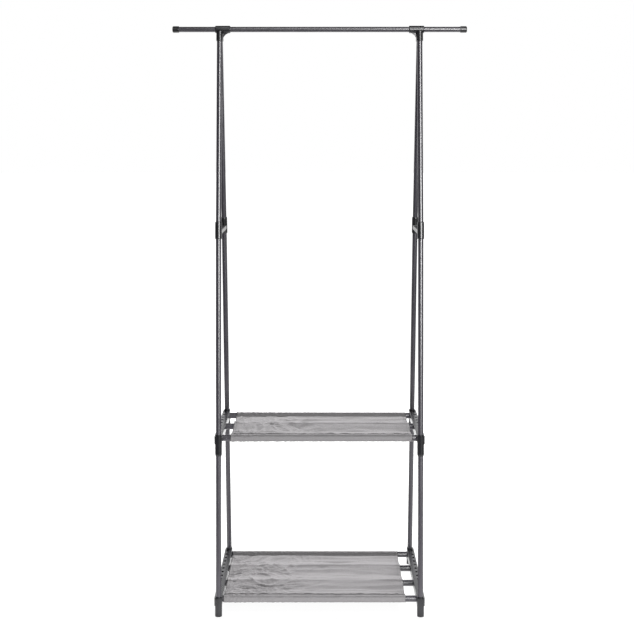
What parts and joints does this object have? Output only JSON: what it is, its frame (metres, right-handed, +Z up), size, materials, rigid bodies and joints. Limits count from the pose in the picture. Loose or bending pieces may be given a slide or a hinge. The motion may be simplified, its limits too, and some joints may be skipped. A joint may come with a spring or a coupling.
{
  "type": "garment rail",
  "caption": "Free-standing garment rail with A-shaped side frames, a hanging rail with outer arms, and fabric shelves on tubes that slide along them.",
  "frame": {"origin": "on the floor, at the middle of the footprint", "axes": "+Z up, +X along the hanging rail towards the right-hand frame, front towards -Y"},
  "size_m": [0.884, 0.477, 1.747],
  "materials": {
    "painted_tube": "semi-gloss dark anthracite powder coat",
    "moulded_plastic": "satin black moulded plastic",
    "shelf_fabric": "grey non-woven fabric with a fine bonded texture"
  },
  "bodies": {
    "frame": {"front_lower_pole_left": "painted_tube", "front_lower_pole_right": "painted_tube", "front_middle_pole_left": "painted_tube", "front_middle_pole_right": "painted_tube", "front_upper_pole_left": "painted_tube", "front_upper_pole_right": "painted_tube", "lower_shelf_bracket_left": "moulded_plastic", "lower_shelf_bracket_right": "moulded_plastic", "lower_shelf_tube_front": "painted_tube", "lower_shelf_tube_mid_front": "painted_tube", "lower_shelf_tube_mid_rear": "painted_tube", "lower_shelf_tube_rear": "painted_tube", "mid_brace_left": "moulded_plastic", "mid_brace_right": "moulded_plastic", "rail_arm_left": "painted_tube", "rail_arm_right": "painted_tube", "rail_end_cap_left": "moulded_plastic", "rail_end_cap_right": "moulded_plastic", "rail_tube": "painted_tube", "rear_lower_pole_left": "painted_tube", "rear_lower_pole_right": "painted_tube", "rear_middle_pole_left": "painted_tube", "rear_middle_pole_right": "painted_tube", "rear_upper_pole_left": "painted_tube", "rear_upper_pole_right": "painted_tube", "top_connector_left": "moulded_plastic", "top_connector_right": "moulded_plastic", "upper_shelf_bracket_left": "moulded_plastic", "upper_shelf_bracket_right": "moulded_plastic", "upper_shelf_tube_front": "painted_tube", "upper_shelf_tube_middle": "painted_tube", "upper_shelf_tube_rear": "painted_tube"},
    "upper_cloth": {"upper_shelf_cloth": "shelf_fabric"},
    "lower_cloth": {"lower_shelf_cloth": "shelf_fabric"}
  },
  "joints": [
    {"name": "upper_cloth_slide", "type": "slide", "parent": "frame", "child": "upper_cloth", "axis": [1, 0, 0], "range_m": [-0.022, 0.011]},
    {"name": "lower_cloth_slide", "type": "slide", "parent": "frame", "child": "lower_cloth", "axis": [1, 0, 0], "range_m": [-0.002, 0.032]}
  ]
}
